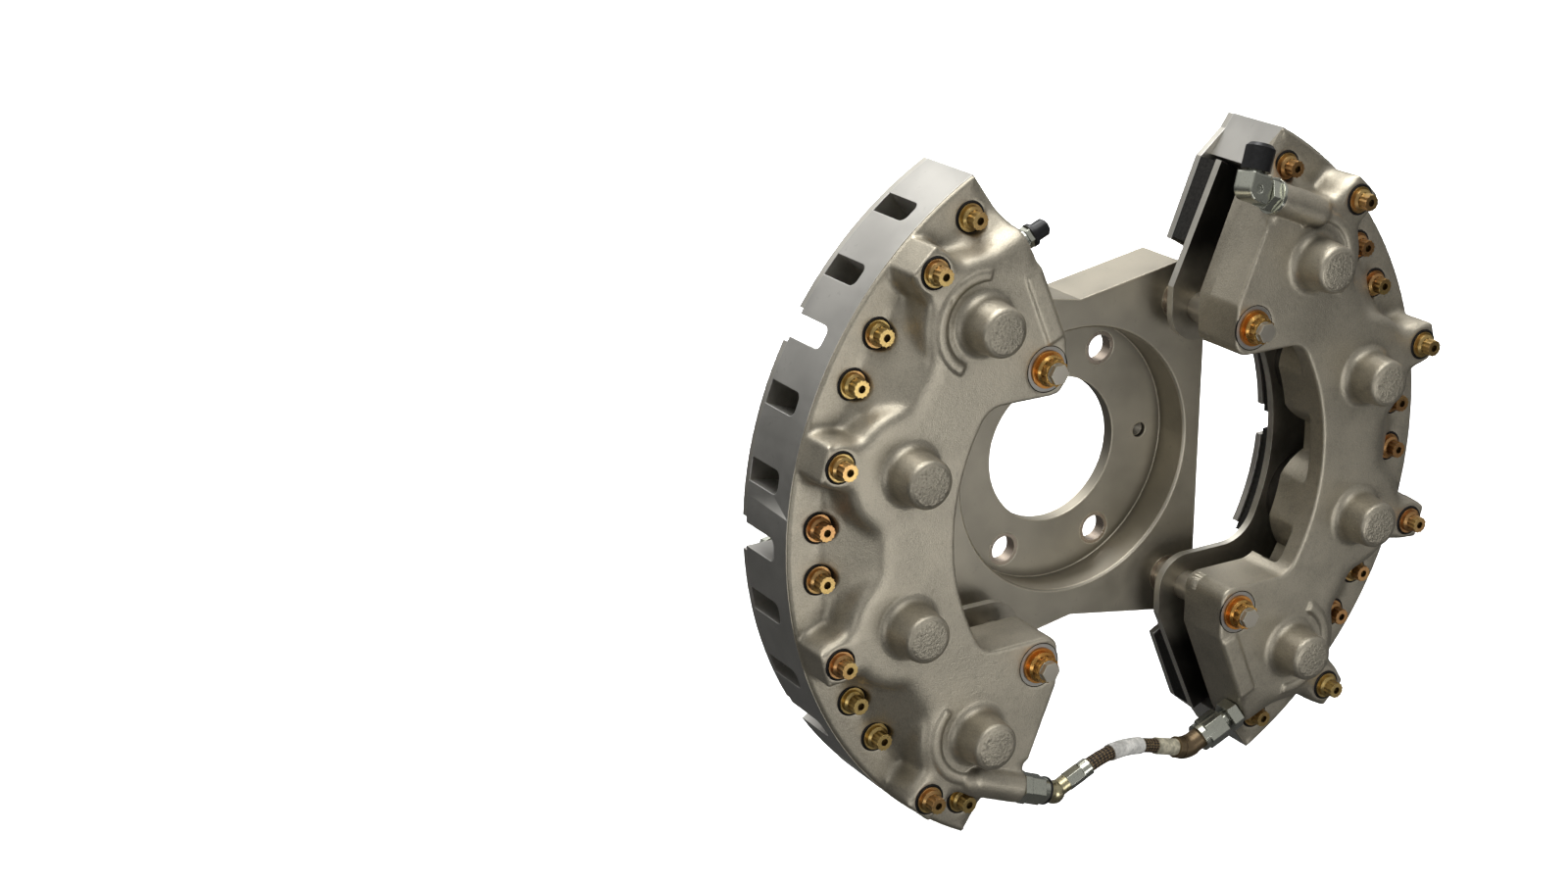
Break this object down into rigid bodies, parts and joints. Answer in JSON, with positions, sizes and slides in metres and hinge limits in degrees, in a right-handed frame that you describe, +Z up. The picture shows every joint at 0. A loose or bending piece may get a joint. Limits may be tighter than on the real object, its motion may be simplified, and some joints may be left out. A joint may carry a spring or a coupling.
{
  "type": "aircraft brake assembly",
  "caption": "Disc brake for an aircraft wheel: a bored torque plate, two sliding cast calipers with pistons, linings and slotted walls, and a hose that joins them.",
  "frame": {"origin": "centre of the axle bore, on the front face of the torque plate's web where the axle flange seats", "axes": "+Y along the wheel axis from the cast faces towards the wheel, +Z up, +X from the left caliper to the right one"},
  "size_m": [0.3542, 0.1082, 0.3112],
  "materials": {
    "cast_housing": "fine-grained warm grey casting; machined wall lighter and smoother",
    "torque_plate": "machined, grey-brown satin conversion coating",
    "bushing": "plain steel bush with a light gold rim",
    "plate_steel": "bright ground steel",
    "lining": "black friction lining",
    "gold_bolt": "cadmium plated, gold to copper tint",
    "gold_washer": "cadmium plated washer",
    "copper_washer": "orange cadmium plated washer",
    "gold_nut": "orange-gold cadmium plated nut",
    "anchor_steel": "pale ground steel pin",
    "piston": "dark anodised, guessed because no piston shows",
    "seal": "black rubber",
    "zinc": "pale green-silver zinc plate",
    "black_cap": "black moulded cap",
    "gold_elbow": "olive-gold plated fitting",
    "hose_braid": "brown braided cover",
    "brown_sheath": "brown sheath",
    "sleeve": "white marker sleeve, blank"
  },
  "bodies": {
    "torque_plate": {"torque_plate": "torque_plate", "axle_bushings": "bushing", "anchor_bushings": "bushing"},
    "left_caliper": {"left_housing": "cast_housing", "left_back_plates": "plate_steel", "left_back_linings": "lining", "left_tie_bolts": "gold_bolt", "left_tie_washers": "gold_washer", "left_tie_nuts": "zinc", "left_anchor_bolts": "anchor_steel", "left_anchor_washers": "copper_washer", "left_anchor_nuts": "gold_nut", "left_seals": "seal", "left_hose_adapter": "zinc", "left_hose_nut": "zinc", "left_hose_ring": "seal", "left_hose_elbow": "gold_elbow", "left_hose_ferrule": "zinc", "crossover_hose": "hose_braid", "hose_sleeve": "sleeve", "right_hose_ferrule": "gold_elbow", "right_hose_elbow": "brown_sheath", "right_hose_nut": "zinc"},
    "right_caliper": {"right_housing": "cast_housing", "right_back_plates": "plate_steel", "right_back_linings": "lining", "right_tie_bolts": "gold_bolt", "right_tie_washers": "gold_washer", "right_tie_nuts": "zinc", "right_anchor_bolts": "anchor_steel", "right_anchor_washers": "copper_washer", "right_anchor_nuts": "gold_nut", "right_seals": "seal", "inlet_jam_nut": "zinc", "inlet_elbow": "zinc", "inlet_cap": "black_cap", "right_hose_adapter": "zinc"},
    "bleeder": {"bleeder_valve": "zinc", "bleeder_cap": "black_cap"},
    "left_pressure_plate": {"left_pressure_plate": "plate_steel", "left_pressure_linings": "lining"},
    "left_piston_1": {"left_piston_1": "piston"},
    "left_piston_2": {"left_piston_2": "piston"},
    "left_piston_3": {"left_piston_3": "piston"},
    "left_piston_4": {"left_piston_4": "piston"},
    "right_pressure_plate": {"right_pressure_plate": "plate_steel", "right_pressure_linings": "lining"},
    "right_piston_1": {"right_piston_1": "piston"},
    "right_piston_2": {"right_piston_2": "piston"},
    "right_piston_3": {"right_piston_3": "piston"},
    "right_piston_4": {"right_piston_4": "piston"}
  },
  "joints": [
    {"name": "left_caliper_slide", "type": "slide", "parent": "torque_plate", "child": "left_caliper", "axis": [0, 1, 0], "range_m": [-0.006, 0.006]},
    {"name": "right_caliper_slide", "type": "slide", "parent": "torque_plate", "child": "right_caliper", "axis": [0, 1, 0], "range_m": [-0.006, 0.006]},
    {"name": "left_plate_slide", "type": "slide", "parent": "left_caliper", "child": "left_pressure_plate", "axis": [0, 1, 0], "range_m": [-0.0115, 0]},
    {"name": "left_piston_1_slide", "type": "slide", "parent": "left_caliper", "child": "left_piston_1", "axis": [0, 1, 0], "range_m": [-0.0115, 0]},
    {"name": "left_piston_2_slide", "type": "slide", "parent": "left_caliper", "child": "left_piston_2", "axis": [0, 1, 0], "range_m": [-0.0115, 0]},
    {"name": "left_piston_3_slide", "type": "slide", "parent": "left_caliper", "child": "left_piston_3", "axis": [0, 1, 0], "range_m": [-0.0115, 0]},
    {"name": "left_piston_4_slide", "type": "slide", "parent": "left_caliper", "child": "left_piston_4", "axis": [0, 1, 0], "range_m": [-0.0115, 0]},
    {"name": "right_plate_slide", "type": "slide", "parent": "right_caliper", "child": "right_pressure_plate", "axis": [0, 1, 0], "range_m": [-0.0115, 0]},
    {"name": "right_piston_1_slide", "type": "slide", "parent": "right_caliper", "child": "right_piston_1", "axis": [0, 1, 0], "range_m": [-0.0115, 0]},
    {"name": "right_piston_2_slide", "type": "slide", "parent": "right_caliper", "child": "right_piston_2", "axis": [0, 1, 0], "range_m": [-0.0115, 0]},
    {"name": "right_piston_3_slide", "type": "slide", "parent": "right_caliper", "child": "right_piston_3", "axis": [0, 1, 0], "range_m": [-0.0115, 0]},
    {"name": "right_piston_4_slide", "type": "slide", "parent": "right_caliper", "child": "right_piston_4", "axis": [0, 1, 0], "range_m": [-0.0115, 0]},
    {"name": "bleeder_turn", "type": "hinge", "parent": "left_caliper", "child": "bleeder", "pos_m": [-0.06591, -0.0652, 0.12704], "axis": [0.9253, 0, 0.3794], "range_deg": [0, 180]}
  ],
  "couplings": [
    {"joint": "right_caliper_slide", "follows": "left_caliper_slide", "ratio": 1},
    {"joint": "left_piston_1_slide", "follows": "left_plate_slide", "ratio": 1},
    {"joint": "left_piston_2_slide", "follows": "left_plate_slide", "ratio": 1},
    {"joint": "left_piston_3_slide", "follows": "left_plate_slide", "ratio": 1},
    {"joint": "left_piston_4_slide", "follows": "left_plate_slide", "ratio": 1},
    {"joint": "right_piston_1_slide", "follows": "right_plate_slide", "ratio": 1},
    {"joint": "right_piston_2_slide", "follows": "right_plate_slide", "ratio": 1},
    {"joint": "right_piston_3_slide", "follows": "right_plate_slide", "ratio": 1},
    {"joint": "right_piston_4_slide", "follows": "right_plate_slide", "ratio": 1}
  ]
}
